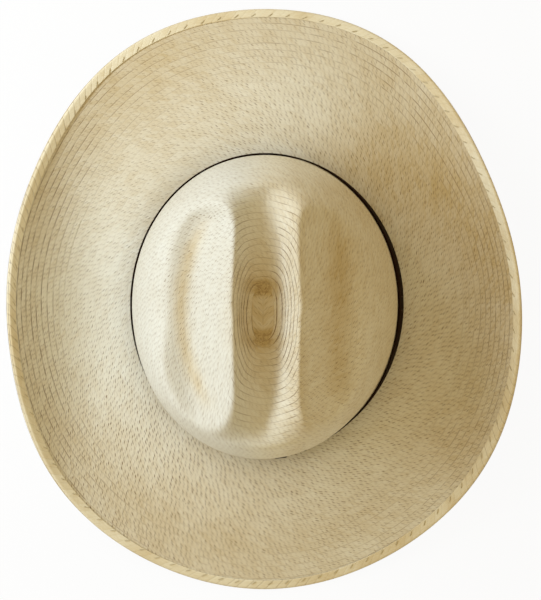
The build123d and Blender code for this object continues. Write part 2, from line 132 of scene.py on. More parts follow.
# ---- Steps and small numbers
METRES = 0.001  # in a millimetre
TURN_STEPS = 720  # lines from the middle of a surface to its edge
LINE_STEPS = 1201  # places measured along each line
STEPS_PER_ROW = 8
RIBBON_STEPS = 360  # per turn, where a ribbon's length is measured
LOOP_STEPS = 721  # along the hatband and the sweatband
EDGE_STEPS = 3601  # round the brim's edge
PATCH_TURNS, PATCH_RINGS = 120, 22
THREAD_STOPS, THREAD_SIDES, REED_SIDES, KNOT_SIDES = 13, 10, 12, 24
ARC_SHARE = 0.29  # of a rounding's radius, from a sharp corner towards the middle of its arc
TURN_NUDGE, SHARE_NUDGE, EDGE_NUDGE = 1e-3, 1e-4, 1e-3  # steps that slopes are measured over
NO_LENGTH, NO_WIDTH = 1e-12, 1e-5
WAVES = (2, 3, 5, 7, 11, 17, 26)
WAVE_DRIFT, WAVE_TOTAL = 0.9, 2.4
CROWN_RADIUS = 90  # about, to turn an angle into a length
UPWARD = np.array([0, 0, 1.0])


# ---- Shape of the hat, as in the CAD source, on arrays
def soft_ramp(distance, roundness):
    return roundness * np.logaddexp(0, distance / roundness)


def soft_lowest(heights, softness):
    return -softness * np.logaddexp.reduce([-h / softness for h in heights])


def smooth(x):
    x = np.clip(x, 0, 1)
    return x * x * (3 - 2 * x)


def ramp(value, start, length):
    """Nothing up to a start, then rising smoothly to 1 over a length."""
    return smooth((value - start) / length)


def fade(value, end, length):
    """1 at first, then falling smoothly over a length to nothing at the end."""
    return smooth((end - value) / length)


def bump(value, middle, width):
    """1 at the middle, and falling to nothing on both sides."""
    return np.exp(-(((value - middle) / width) ** 2))


def circle(count):
    """Evenly spaced turns, once round."""
    return np.arange(count) * 2 * math.pi / count


def grid(rows, columns):
    return np.meshgrid(rows, columns, indexing="ij")


def lengths_along(points):
    """Distance along a line of points, up to each of them."""
    return np.concatenate([[0], np.cumsum(np.linalg.norm(np.diff(points, axis=0), axis=-1))])


def foot(turn):
    return crown_width / 2 * np.cos(turn), crown_length / 2 * np.sin(turn)


def fullness(turn):
    end_fullness = np.where(np.sin(turn) > 0, back_fullness, front_fullness)
    return side_fullness + (end_fullness - side_fullness) * np.sin(turn) ** 2


def leaned(x, y, height):
    share = 1 - np.exp(-(height / lean_rise) ** 2)
    bulge = -end_bulge * np.cos(2 * np.arctan2(y / crown_length, x / crown_width))
    lean_x = wall_lean_x + bulge * 2 * x / crown_width
    lean_y = wall_lean_y + bulge * 2 * y / crown_length
    return x + share * lean_x, y + share * lean_y


def open_dome(x, y):
    reach = np.minimum(np.hypot(2 * x / crown_width, 2 * y / crown_length), 1.0)
    return dome_height * np.sqrt(1 - reach ** fullness(np.arctan2(y / crown_length, x / crown_width)))


def trough(x, y):
    middle = (trough_front + trough_back) / 2
    half_length = (trough_back - trough_front) / 2
    to_end = np.minimum(((y - middle) / half_length) ** 2, 1.0)
    half_width = trough_half_width * (1 - trough_taper * to_end)
    ridge = ridge_reach + ridge_spread * y / crown_length
    floor = trough_floor + trough_end_rise * to_end
    floor = floor + trough_front_slope * soft_ramp(trough_front - y, trough_half_width / 4)
    floor = floor + trough_back_slope * soft_ramp(y - trough_back, trough_half_width)
    wall_slope = soft_ramp(open_dome(ridge, y) - floor, crease_softness) / (ridge - half_width)
    return floor + wall_slope * soft_ramp(np.abs(x - trough_offset) - half_width, trough_half_width / 5)


def ridge_lift(x, y):
    across = (np.abs(x - trough_offset) - ridge_reach) / ridge_width
    middle = (trough_front + trough_back) / 2
    past_end = (np.abs(y - middle) - (trough_back - trough_front) / 2) / ridge_width
    return ridge_pinch * np.exp(-across * across) / (1 + np.exp(2 * past_end))


def dent(x, y, side):
    across = side * x - (dent_reach - dent_pinch * ((y - dent_widest) / dent_span) ** 2)
    rise = dent_inner_slope * soft_ramp(-across, crease_softness)
    rise = rise + dent_outer_slope * soft_ramp(across, crease_softness)
    rise = rise + dent_front_slope * soft_ramp(dent_front - y, crease_softness)
    return dent_floor + rise + dent_back_slope * soft_ramp(y - dent_back, 2 * crease_softness)


def patch_outline(turn, margin=0.0):
    cosine, sine = np.cos(turn), np.sin(turn)
    x = (patch_width / 2 + margin) * np.copysign(np.abs(cosine) ** patch_squareness, cosine)
    y = (patch_length / 2 + margin) * np.copysign(np.abs(sine) ** patch_squareness, sine)
    return patch_centre_x + x, patch_centre_y + y


def crown_outside(turn, share):
    """Places on the creased crown, from the start patch at share 0 to the foot at share 1."""
    foot_x, foot_y = foot(turn)
    rim_x, rim_y = patch_outline(turn, patch_gap)
    scale = np.sin(np.clip(share, 0, 1) * math.pi / 2) ** 1.15
    x = rim_x - wall_lean_x + (foot_x - rim_x + wall_lean_x) * scale
    y = rim_y - wall_lean_y + (foot_y - rim_y + wall_lean_y) * scale
    dome = open_dome(x, y)
    x, y = leaned(x, y, dome)
    heights = [dome + ridge_lift(x, y), trough(x, y), dent(x, y, 1), dent(x, y, -1)]
    height = soft_lowest(heights, crease_softness)
    height = trough_floor + (height - trough_floor) * smooth(scale / patch_level_share)
    return np.stack([x, y, np.maximum(height, 0)], -1)


def wall_contour(turn, height):
    x, y = foot(turn)
    scale = (1 - (height / dome_height) ** 2) ** (1 / fullness(turn))
    return leaned(x * scale, y * scale, height)


def wall_frame(turn, height):
    """Places on the wall's outside at a height, with their level outward directions."""
    height = np.broadcast_to(height, np.shape(turn))
    x, y = wall_contour(turn, height)
    ahead, behind = wall_contour(turn + TURN_NUDGE, height), wall_contour(turn - TURN_NUDGE, height)
    outward = np.stack([ahead[1] - behind[1], behind[0] - ahead[0], 0 * turn], -1)
    return np.stack([x, y, height], -1), unit(outward)


def unit(v):
    return v / np.maximum(np.linalg.norm(v, axis=-1, keepdims=True), NO_LENGTH)


def edge_reach(direction):
    oval = np.hypot(crown_length * np.cos(direction), crown_width * np.sin(direction))
    reach = crown_width * crown_length / 2 / oval
    for count, size, turn in brim_lobes:
        reach = reach + size * np.cos(count * (direction - math.radians(turn)))
    return reach + brim_reach


def brim_top(turn, share):
    foot_x, foot_y = foot(turn)
    direction = np.arctan2(foot_y, foot_x)
    reach = edge_reach(direction)
    x = foot_x + (reach * np.cos(direction) - foot_x) * share
    y = foot_y + (reach * np.sin(direction) - foot_y) * share
    curl = (np.cos(direction) ** 2) ** curl_sharpness
    dip = edge_drop * (1 - curl) + roll_depth * curl
    share = np.maximum(share, 0)
    z = (side_lift + roll_depth) * curl * share ** curl_power - dip * share ** dip_power - break_gap
    return np.stack([x, y, z], -1)


def brim_normals(turn, share):
    around = brim_top(turn + SHARE_NUDGE, share) - brim_top(turn - SHARE_NUDGE, share)
    outward = brim_top(turn, share + SHARE_NUDGE) - brim_top(turn, share - SHARE_NUDGE)
    return unit(np.cross(outward, around))


def from_edge(turn, inward, up):
    """Places at a distance in from the brim's edge, measured along its slope, and up from its top surface."""
    last = brim_top(turn, 1.0 + 0 * turn) - brim_top(turn, 1 - EDGE_NUDGE + 0 * turn)
    share = 1 - inward / (np.linalg.norm(last, axis=-1) / EDGE_NUDGE)
    return brim_top(turn, share) + brim_normals(turn, share) * np.asarray(up)[..., None]


# ---- Meshes
def make_piece(name, points, faces, coords, slot, node, marks=None):
    """Object from points in millimetres, which stands for a CAD node and takes the paint of its slot.

    coords are the braid's own plane: strands along it and place across it.
    """
    points = points.reshape(-1, 3)
    faces = np.asarray(faces, np.int32)
    mesh = bpy.data.meshes.new(name)
    mesh.vertices.add(len(points))
    mesh.vertices.foreach_set("co", (points * METRES).astype(np.float32).ravel())
    mesh.loops.add(faces.size)
    mesh.loops.foreach_set("vertex_index", faces.ravel())
    mesh.polygons.add(len(faces))
    mesh.polygons.foreach_set("loop_start", np.arange(0, faces.size, faces.shape[1], dtype=np.int32))
    mesh.polygons.foreach_set("use_smooth", np.full(len(faces), True))
    layer = mesh.uv_layers.new(name="braid")
    layer.data.foreach_set("uv", np.asarray(coords, np.float32).reshape(-1, 2)[faces.ravel()].ravel())
    for mark, values in (marks or {}).items():
        attribute = mesh.attributes.new(mark, "FLOAT", "POINT")
        attribute.data.foreach_set("value", np.asarray(values, np.float32).ravel())
    mesh.update(calc_edges=True)
    mesh.validate()
    mesh.materials.append(paints[slot])
    piece = bpy.data.objects.new(name, mesh)
    scene.collection.objects.link(piece)
    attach(piece, "root")
    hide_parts(node)


def grid_faces(rows, columns, wrap_rows=False, wrap_columns=False, flip=False):
    """Quads between the points of a grid stored row by row."""
    i, j = grid(np.arange(rows if wrap_rows else rows - 1),
                np.arange(columns if wrap_columns else columns - 1))
    i2, j2 = (i + 1) % rows, (j + 1) % columns
    quad = np.stack([i * columns + j, i2 * columns + j, i2 * columns + j2, i * columns + j2], -1)
    quad = quad.reshape(-1, 4)
    return quad[:, ::-1] if flip else quad


def even_grid(surface, rows):
    """Grid of turns by rows over a surface, with the rows evenly wide along each line from the middle out."""
    shares = np.linspace(0, 1, LINE_STEPS)
    even = np.linspace(0, 1, STEPS_PER_ROW * rows + 1)
    points = np.empty((TURN_STEPS, len(even), 3))
    for i, turn in enumerate(circle(TURN_STEPS)):
        length = lengths_along(surface(np.full(len(shares), turn), shares))
        points[i] = surface(np.full(len(even), turn), np.interp(even * length[-1], length, shares))
    around = np.roll(points, -1, 0) - np.roll(points, 1, 0)
    outward = np.gradient(points, axis=1)
    return points, unit(np.cross(outward, around))


def sample(values, turn, place):
    """Value on a grid of turns by rows, at turns and places from 0 to 1 across it."""
    across = np.clip(place, 0, 1) * (values.shape[1] - 1)
    j = np.minimum(across.astype(int), values.shape[1] - 2)
    b = (across - j)[..., None]
    around = np.mod(turn / (2 * math.pi), 1) * TURN_STEPS
    i = around.astype(int) % TURN_STEPS
    a = (around - np.floor(around))[..., None]
    i2 = (i + 1) % TURN_STEPS
    low = values[i, j] * (1 - b) + values[i, j + 1] * b
    high = values[i2, j] * (1 - b) + values[i2, j + 1] * b
    return low * (1 - a) + high * a


def wander(turn, row, seed):
    """Slow handmade unevenness, from about -1 to 1."""
    random = np.random.default_rng(seed)
    total = 0
    for waves in WAVES:
        phase, drift = random.uniform(0, 2 * math.pi), random.uniform(-WAVE_DRIFT, WAVE_DRIFT)
        total = total + np.sin(waves * turn + drift * row + phase) / waves ** 0.5
    return total / WAVE_TOTAL


ROW_STOPS = np.array([0, 0.06, 0.25, 0.5, 0.75, 0.94, 1])
# Strands that a strand passes on its way across a row.
SLANT_STRANDS = ROW_PITCH / math.tan(math.radians(STRAND_SLANT)) / STRAND_PITCH


def braid_relief(strand, across, marks):
    """How far below the surface the braid lies, at a strand coordinate and a place across the row."""
    ridge = (0.5 + 0.5 * np.cos(2 * math.pi * strand)) ** 0.6
    body = np.sin(math.pi * np.clip(across, 0, 1)) ** 0.5
    groove = bump(across, 0, GROOVE_WIDTH) + bump(across, 1, GROOVE_WIDTH)
    row_relief = ROW_TILT * (1 - across) + GROOVE_DEPTH * groove * (0.3 + 0.7 * marks["open_gap"])
    return row_relief + STRAND_RELIEF * (1 - ridge) * body * (0.5 + 0.5 * marks["slits"])


def plain_looks(place, share):
    """How open the rows stand, how worn the straw is, how much grey white is painted on it for light, and how
    dark its slits are.
    """
    same = np.ones(share.shape)
    return {"open_gap": 0.3 * same, "wear_and_painted_shading": 0.45 * same, "slits": 0.6 * same, "lit_side_grey": 0 * same}


def sew_braid(name, surface, rows, first, last, node, looks, under=False):
    """One long braid sewn round and round over a surface, from one row to another, as a ribbon of strands."""
    points, normals = surface
    if under:
        points = points - normals * straw
    turns = np.arange(first, last + 1, 1 / RIBBON_STEPS)
    middle = sample(points, 2 * math.pi * turns, np.clip(turns - 0.5, first, last) / rows)
    length = lengths_along(middle)
    travel = np.linspace(0, length[-1], int(length[-1] / (COARSE_SPACING if under else FINE_SPACING)))
    along = np.interp(travel, length, turns)
    row = np.clip(along[:, None] - 1 + ROW_STOPS, first, last)
    row, turn, across = np.broadcast_arrays(row, 2 * math.pi * along[:, None], ROW_STOPS)
    inside = np.minimum(row - first, last - row)
    row = row + ROW_WAVER * wander(turn, row, 5) * np.clip(inside, 0, 1)
    drift = STRAND_WAVER * wander(turn, row * 0.2, 11)
    strand = travel[:, None] / STRAND_PITCH + drift - SLANT_STRANDS * ROW_STOPS
    place = sample(points, turn, row / rows)
    normal = unit(sample(normals, turn, row / rows)) * (-1 if under else 1)
    marks = looks(place, row / rows)
    depth = braid_relief(strand, across, marks) + SINK + SINK * wander(turn, row * 3, 23)
    place = place - normal * depth[..., None]
    faces = grid_faces(*row.shape, flip=under)
    width = row[faces // len(ROW_STOPS), faces % len(ROW_STOPS)]
    faces = faces[width.max(1) - width.min(1) > NO_WIDTH]  # rows that are cut off have none
    make_piece(name, place, faces, np.stack([strand, across], -1), "straw_braid", node, marks)


# ---- Materials
def paint(red, green, blue):
    """Linear colour from 0 to 255 display values."""
    display = np.array([red, green, blue]) / 255
    linear = np.where(display <= 0.04045, display / 12.92, ((display + 0.055) / 1.055) ** 2.4)
    return (*linear, 1.0)


class Material:
    """Small wrapper that adds nodes to one material and links them."""

    def __init__(self, name, sheen=0.5, refraction=1.45):
        self.material = bpy.data.materials.new(name)
        self.material.use_nodes = True
        self.tree = self.material.node_tree
        self.tree.nodes.clear()
        self.shader = self.tree.nodes.new("ShaderNodeBsdfPrincipled")
        self.shader.distribution = "MULTI_GGX"
        self.output = self.tree.nodes.new("ShaderNodeOutputMaterial")
        self.tree.links.new(self.shader.outputs[0], self.output.inputs[0])
        self.shader.inputs["Specular IOR Level"].default_value = sheen
        self.shader.inputs["IOR"].default_value = refraction

    def add(self, kind, inputs, output=0, **settings):
        node = self.tree.nodes.new("ShaderNode" + kind)
        for setting, value in settings.items():
            setattr(node, setting, value)
        for socket, value in inputs.items():
            if isinstance(value, bpy.types.NodeSocket):
                self.tree.links.new(value, node.inputs[socket])
            else:
                node.inputs[socket].default_value = value
        return node.outputs[output]

    def calc(self, operation, *values, clamp=False):
        return self.add("Math", dict(enumerate(values)), operation=operation, use_clamp=clamp)

    def plus(self, a, b, clamp=False):
        return self.calc("ADD", a, b, clamp=clamp)

    def minus(self, a, b):
        return self.calc("SUBTRACT", a, b)

    def times(self, a, b):
        return self.calc("MULTIPLY", a, b)

    def most(self, a, b, clamp=False):
        return self.calc("MAXIMUM", a, b, clamp=clamp)

    def to_edge(self, part):
        """Distance to the nearer end of 0 to 1."""
        return self.calc("MINIMUM", part, self.minus(1.0, part))

    def split(self, value):
        """Number of the strand or leaf, and how far on in it."""
        return self.calc("FLOOR", value), self.calc("FRACT", value)

    def chance(self, number):
        """Random value from 0 to 1, the same all over a strand or leaf."""
        return self.add("TexWhiteNoise", {1: number}, noise_dimensions="1D")

    def blend(self, factor, low, high):
        inputs = {0: factor, 6: low, 7: high}
        return self.add("Mix", inputs, output=2, data_type="RGBA", blend_type="MIX", clamp_factor=True)

    def step(self, value, start, end, low=0.0, high=1.0):
        inputs = {0: value, 1: start, 2: end, 3: low, 4: high}
        return self.add("MapRange", inputs, interpolation_type="SMOOTHSTEP")

    def drop(self, value, start, end):
        """1 up to a start, falling smoothly to 0 at the end."""
        return self.step(value, start, end, 1.0, 0.0)

    def noise(self, vector, scale, detail=2.0, roughness=0.5):
        inputs = {"Vector": vector, "Scale": scale, "Detail": detail, "Roughness": roughness}
        return self.add("TexNoise", inputs)

    def vector(self, x, y, z):
        return self.add("CombineXYZ", {0: x, 1: y, 2: z})

    def place(self):
        return self.add("TexCoord", {}, output=3)

    def mark(self, name):
        return self.add("Attribute", {}, output=2, attribute_name=name, attribute_type="GEOMETRY")

    def swing(self, value, size):
        """Value from 0 to 1 as a swing of the given size to both sides of nothing."""
        return self.times(self.minus(value, 0.5), size)

    def slit(self, away, across, number, start):
        """Dark slit in one half of a row, as long and dark as its number says: painted shade in an opening
        between strands. away is the way off it.
        """
        own = self.chance(number)
        start = self.step(own, 0.0, 1.0, start, start + 0.12)
        opens = self.step(across, start, self.plus(start, 0.12))
        closes = self.drop(across, self.plus(start, 0.28), self.plus(start, 0.44))
        in_row = self.times(opens, closes)
        return self.times(self.times(self.drop(away, 0.03, 0.16), in_row), self.step(own, 0.0, 0.9, 0.3, 1.0))

    def braid_plane(self):
        """The braid's own coordinates: strands along it, and place across the row."""
        flat = self.add("UVMap", {}, uv_map="braid")
        split = self.tree.nodes.new("ShaderNodeSeparateXYZ")
        self.tree.links.new(flat, split.inputs[0])
        return split.outputs[0], split.outputs[1]

    def finish(self, colour, roughness, height, distance, strength):
        self.tree.links.new(colour, self.shader.inputs["Base Color"])
        self.tree.links.new(roughness, self.shader.inputs["Roughness"])
        inputs = {"Height": height, "Distance": distance, "Strength": strength}
        self.tree.links.new(self.add("Bump", inputs), self.shader.inputs["Normal"])
        return self.material


def straw_material(name, pale, worn, dark, lit_side_grey_colour):
    """Sewn palm braid: slanted strands with fibres, dark slits between them, and gaps between the rows. The
    dark of the slits and the row gaps is painted shade.
    """
    m = Material(name, 0.35)
    place = m.place()
    strand, across = m.braid_plane()
    strand = m.plus(strand, m.swing(m.noise(place, 260.0, 1.0), 0.9))
    number, part = m.split(strand)
    own = m.chance(number)
    to_edge = m.to_edge(part)
    patches = m.noise(place, 17.0, 3.0, 0.55)
    blotches = m.noise(place, 75.0, 2.0, 0.6)
    fibres = m.noise(m.vector(m.times(strand, 9.0), m.times(across, 1.6), own), 1.6, 3.0, 0.6)
    # The worn tone here also holds painted light and shade, set by crown_looks and brim_looks.
    tone = m.mark("wear_and_painted_shading")
    for value, size in ((patches, 0.40), (blotches, 0.22), (own, 0.15)):
        tone = m.plus(tone, m.swing(value, size))
    tone = m.plus(tone, m.swing(fibres, 0.40), clamp=True)
    # Painted light: blended towards a grey white on the crown's lit side.
    colour = m.blend(m.mark("lit_side_grey"), m.blend(tone, pale, worn), lit_side_grey_colour)
    speckle = m.step(m.noise(place, 600.0, 3.0, 0.7), 0.42, 0.60, 0.0, 0.42)
    tangle = m.times(speckle, m.step(m.mark("wear_and_painted_shading"), 0.85, 1.15))
    from_middle = m.minus(0.5, to_edge)
    # Painted shade: dark slits in the openings between strands.
    early = m.slit(to_edge, across, m.calc("FLOOR", m.plus(strand, 0.5)), 0.02)
    slit = m.most(early, m.slit(from_middle, across, m.plus(number, 0.37), 0.42))
    to_side = m.to_edge(across)
    broken = m.step(m.noise(place, 130.0, 2.0), 0.40, 0.60, 0.25, 1.0)
    # Painted shade: dark lines along the gaps between rows, where the rows stand open.
    seam = m.times(m.drop(to_side, 0.02, 0.10), m.times(m.mark("open_gap"), broken))
    dull = m.most(m.times(slit, m.mark("slits")), m.most(seam, tangle), clamp=True)
    colour = m.blend(dull, colour, dark)
    height = m.minus(m.times(fibres, 0.5), slit)
    roughness = m.step(fibres, 0.3, 0.7, 0.5, 0.66)
    return m.finish(colour, roughness, height, 0.00025, 0.65)


def edge_material(name, pale, tan, dark):
    """Smooth folded braid: long fibres, and a slanted lap between one leaf and the next."""
    m = Material(name, 0.4)
    place = m.place()
    lap, across = m.braid_plane()
    number, part = m.split(lap)
    own = m.chance(number)
    to_edge = m.to_edge(part)
    fibres = m.noise(m.vector(m.times(lap, 2.2), m.times(across, 40.0), own), 1.0, 3.0, 0.6)
    patches = m.noise(place, 22.0, 3.0, 0.55)
    tone = m.plus(m.step(patches, 0.38, 0.68, 0.0, 0.5), m.step(fibres, 0.3, 0.7, 0.0, 0.4))
    tone = m.plus(tone, m.times(own, 0.2), clamp=True)
    colour = m.blend(tone, pale, tan)
    worn = m.step(m.noise(place, 9.0, 1.0), 0.42, 0.62, 0.05, 0.35)
    colour = m.blend(m.times(m.drop(to_edge, 0.02, 0.07), worn), colour, dark)
    height = m.plus(m.times(fibres, 0.4), m.times(m.step(to_edge, 0.0, 0.1), 0.6))
    return m.finish(colour, m.step(fibres, 0.3, 0.7, 0.42, 0.6), height, 0.0002, 0.5)


def leather_material(name, deep, worn, grain, sheen, dullness):
    """Grained leather, a little lighter where it is rubbed."""
    m = Material(name, sheen, 1.5)
    place = m.place()
    inputs = {"Vector": place, "Scale": grain, "Randomness": 1.0}
    pores = m.add("TexVoronoi", inputs, feature="DISTANCE_TO_EDGE")
    rub = m.noise(place, 60.0, 4.0, 0.6)
    tone = m.plus(m.step(rub, 0.4, 0.75, 0.0, 0.6), m.step(pores, 0.0, 0.25, 0.0, 0.3), clamp=True)
    colour = m.blend(tone, deep, worn)
    height = m.plus(m.step(pores, 0.0, 0.3), m.times(rub, 0.6))
    return m.finish(colour, m.step(rub, 0.35, 0.7, dullness, dullness + 0.2), height, 0.0002, 0.45)


def thread_material(name, deep, light):
    """Twisted thread: plies that wind round it, with fine fuzz."""
    m = Material(name, 0.3)
    along, around = m.braid_plane()
    ply = m.calc("FRACT", m.plus(m.times(along, 3.0), m.times(around, 2.0)))
    to_edge = m.to_edge(ply)
    fuzz = m.noise(m.place(), 2500.0, 2.0)
    tone = m.plus(m.step(to_edge, 0.05, 0.35, 0.0, 0.7), m.times(fuzz, 0.3), clamp=True)
    height = m.plus(m.step(to_edge, 0.0, 0.4), m.times(fuzz, 0.3))
    return m.finish(m.blend(tone, deep, light), m.step(fuzz, 0.2, 0.8, 0.55, 0.75), height, 0.00015, 0.6)


def ribbon_material(name, deep, light):
    """Satin ribbon: fine ribs across it and a thread sheen."""
    m = Material(name, 0.5)
    along, across = m.braid_plane()
    rib = m.calc("SINE", m.times(along, 2 * math.pi))
    weave = m.calc("SINE", m.times(across, 60 * math.pi))
    tone = m.step(m.plus(rib, m.times(weave, 0.4)), -1.2, 1.2)
    return m.finish(m.blend(tone, deep, light), m.step(rib, -1.0, 1.0, 0.5, 0.35), tone, 0.0001, 0.4)


def reed_material(name, deep, light):
    """Reed bound in fine thread: turns of thread lie close together along it."""
    m = Material(name, 0.4)
    along, around = m.braid_plane()
    turn = m.calc("FRACT", m.plus(along, m.times(around, 1.0)))
    to_edge = m.to_edge(turn)
    soil = m.noise(m.place(), 90.0, 3.0)
    tone = m.plus(m.step(to_edge, 0.02, 0.3, 0.0, 0.6), m.times(soil, 0.4), clamp=True)
    colour = m.blend(tone, deep, light)
    return m.finish(colour, m.step(soil, 0.3, 0.7, 0.5, 0.65), m.step(to_edge, 0.0, 0.4), 0.00015, 0.6)


paints = {slot: recipe(slot, *looks) for slot, recipe, *looks in (
    # Straw colours: pale; worn, which the painted shade also uses; dark, for the painted shade of slits and
    # row gaps and for speckles where the straw is most worn; and a grey white, painted light on the crown's
    # lit side.
    ("straw_braid", straw_material, paint(242, 238, 223), paint(197, 171, 119), paint(120, 80, 30),
     paint(214, 215, 211)),
    ("edge_braid", edge_material, paint(246, 238, 214), paint(222, 202, 160), paint(130, 102, 62)),
    ("hatband_leather", leather_material, paint(24, 10, 4), paint(44, 22, 11), 900.0, 0.04, 0.65),
    ("sweatband_leather", leather_material, paint(134, 84, 47), paint(171, 119, 74), 1100.0, 0.4, 0.38),
    ("straw_thread", thread_material, paint(176, 156, 112), paint(228, 215, 182)),
    ("dark_thread", thread_material, paint(22, 13, 8), paint(74, 50, 34)),
    ("reed", reed_material, paint(150, 124, 82), paint(222, 204, 166)),
    ("bow_ribbon", ribbon_material, paint(26, 17, 12), paint(70, 50, 38)))}


# ---- Crown and brim
def layered(base, *layers):
    """A base with layers on it, each of which is an amount and where it lies."""
    for amount, where in layers:
        base = base + amount * where
    return base


def crown_looks(place, share):
    """Rows stand open round the start patch and up the trough's walls, and the straw is browner in the
    trough. The colour also holds painted light and shade: greyer white on the lit side, paler at the front
    and back ends, and browner on the shaded side and in the dents.
    """
    x, y, z = place[..., 0] - patch_centre_x, place[..., 1] - patch_centre_y, place[..., 2]
    away, along = np.abs(x), np.abs(y)
    on_wall = bump(away, 15, 7) * fade(along, 80, 20) * ramp(z, 70, 12)
    reach = np.hypot(x / 16, y / 32)
    beside = away / 16 / np.maximum(reach, 0.1)
    near_patch = np.exp(-(reach ** 4)) * (0.35 + 0.65 * beside)
    gap = layered(0.16, (0.65, on_wall * np.where(x < 0, 1.0, 0.6)), (0.7, near_patch))
    # Browner in the trough round the start patch, further up its left wall than its right.
    trough_brown = np.exp(-(np.hypot(x / np.where(x < 0, 11, 19), y / 44) ** 3))
    # Painted shade: browner along both side dents.
    dent_line = 51 - 0.0047 * (y + 2) ** 2
    in_dent = np.where(x > 0, bump(x, dent_line, 5), bump(x, -47, 8)) * fade(along, 65, 25)
    # Painted light: paler at the crown's front and back ends. Painted shade: browner on the wearer's right,
    # the shaded side.
    back_end, front_end, right_side = ramp(y, 65, 25), ramp(-y, 75, 20), ramp(-x, 20, 20)
    right_ridge = bump(x, -21, 6)
    back_half = np.clip(y / 70, -1, 1) * ramp(away, 30, 20)
    patch_ends = np.exp(-(np.hypot(x / 10, (along - 17) / 5) ** 2))
    wear_and_painted_shading = layered(0.38, (0.40, trough_brown), (-0.30, back_end), (-0.20, front_end), (0.08, right_side),
                   (0.30, in_dent), (0.15, right_ridge), (-0.10, back_half), (0.40, patch_ends))
    in_trough = fade(away, 20, 8) * fade(along, 85, 20)
    # Painted light: greyer white on the wearer's left, the lit side, less in the dents and the trough.
    lit_side_grey = 0.5 * ramp(x, -10, 30) * (1 - 0.9 * in_dent) * (1 - trough_brown)
    return {"open_gap": np.minimum(gap, 1), "wear_and_painted_shading": wear_and_painted_shading, "slits": 0.45 - 0.25 * in_trough, "lit_side_grey": lit_side_grey}


def brim_looks(place, share):
    """Outer rows stand open and are browner. The colour also holds painted light and shade: the inner rows on
    the wearer's left, the lit side, are the palest, and the brim is browner ahead on the wearer's right,
    where the crown's shadow falls.
    """
    direction = np.arctan2(place[..., 1], place[..., 0])
    leftward, rightward = np.maximum(np.cos(direction), 0), np.maximum(-np.cos(direction), 0)
    front_left, front = bump(direction, -1.0, 0.5), bump(direction, -1.7, 0.6)
    back_left, back_right = bump(direction, 0.9, 0.6), bump(direction, 2.0, 0.4)
    # Painted shadow: browner ahead on the wearer's right, where the crown's shadow falls, less towards the
    # edge.
    front_right = bump(direction, -2.1 - 0.75 * share, 0.45) * (1 - 0.5 * ramp(share, 0.55, 0.3))
    outer = ramp(share, 0.3, 0.6)
    # Painted light: paler towards the wearer's left, the lit side.
    left = np.maximum(np.cos(direction + 0.05), 0) ** 3
    left_edge = leftward ** 2 * ramp(share, 0.55, 0.25)
    back_edge = ramp(np.sin(direction), 0.3, 0.5) * ramp(share, 0.65, 0.25)
    # Painted shade: browner close beside the crown on the wearer's left, where the crown shades the brim.
    # Paler close beside it at the front.
    by_crown = bump(share, 0, 0.08) * (0.15 * smooth(np.cos(direction)) - 0.15 * front)
    most_open = layered(0.12, (0.6, leftward ** 2), (0.2, rightward ** 2), (0.3, bump(direction, -2.1, 0.6)))
    wear_and_painted_shading = layered(0.42, (-0.41, left), (0.05, left_edge), (0.22, outer), (0.15, front_left), (-0.17, front),
                   (-0.17, back_right), (1, by_crown), (0.42, front_right), (-0.15, back_edge))
    slits = layered(0.72, (-0.25, left * (1 - outer)), (-0.25, outer), (0.4, back_left), (-0.3, front_left))
    gap = 0.16 + ramp(share, 0.45, 0.3) * most_open
    return {"open_gap": gap, "wear_and_painted_shading": wear_and_painted_shading, "slits": slits, "lit_side_grey": 0 * share}


crown = even_grid(crown_outside, CROWN_ROWS)
brim = even_grid(brim_top, BRIM_ROWS)
for node, first, last in (("crown_tip", 0, TIP_ROWS), ("crown_side", TIP_ROWS, CROWN_ROWS)):
    sew_braid(node + "_braid", crown, CROWN_ROWS, first, last, node, crown_looks)
    sew_braid(node + "_lining_side", crown, CROWN_ROWS, first, last, node, plain_looks, under=True)
for part, first, last in (("inner", 0, BRIM_ROWS // 2), ("outer", BRIM_ROWS // 2, BRIM_ROWS)):
    sew_braid("brim_top_" + part, brim, BRIM_ROWS, first, last, "brim", brim_looks)
    sew_braid("brim_underside_" + part, brim, BRIM_ROWS, first, last, "brim", brim_looks, under=True)


def make_patch():
    """Start of the braid in the trough: two rows side by side, with strands that meet in chevrons."""
    turn, share = grid(circle(PATCH_TURNS), np.linspace(0, 1, PATCH_RINGS))
    margin = patch_gap + PATCH_OVERLAP
    rim_x, rim_y = patch_outline(turn, margin)
    x = patch_centre_x + (rim_x - patch_centre_x) * share
    y = patch_centre_y + (rim_y - patch_centre_y) * share
    strand = (y + np.abs(x - patch_centre_x)) / STRAND_PITCH
    across = 1 - np.abs(x - patch_centre_x) / (patch_width / 2 + margin)
    to_end = ramp(np.abs(y - patch_centre_y), 8, 6)
    marks = {"open_gap": 0.15 + 0.6 * ramp(share, 0.8, 0.2), "wear_and_painted_shading": 0.80 + 0.40 * to_end,
             "slits": 0.25 + 0.45 * to_end, "lit_side_grey": 0 * share}
    depth = braid_relief(strand, across, marks) - ROW_TILT * (1 - across) + PATCH_SINK
    top = np.stack([x, y, trough_floor - depth], -1)
    bottom = np.stack([x, y, trough_floor - straw + depth], -1)
    faces = grid_faces(*x.shape, wrap_rows=True)
    coords = np.stack([strand, across], -1)
    marks = {name: np.concatenate([values, values]) for name, values in marks.items()}
    make_piece("start_patch_braid", np.concatenate([top, bottom]),
               np.concatenate([faces, faces[:, ::-1] + x.size]), np.concatenate([coords, coords]),
               "straw_braid", "crown_start_patch", marks)


make_patch()


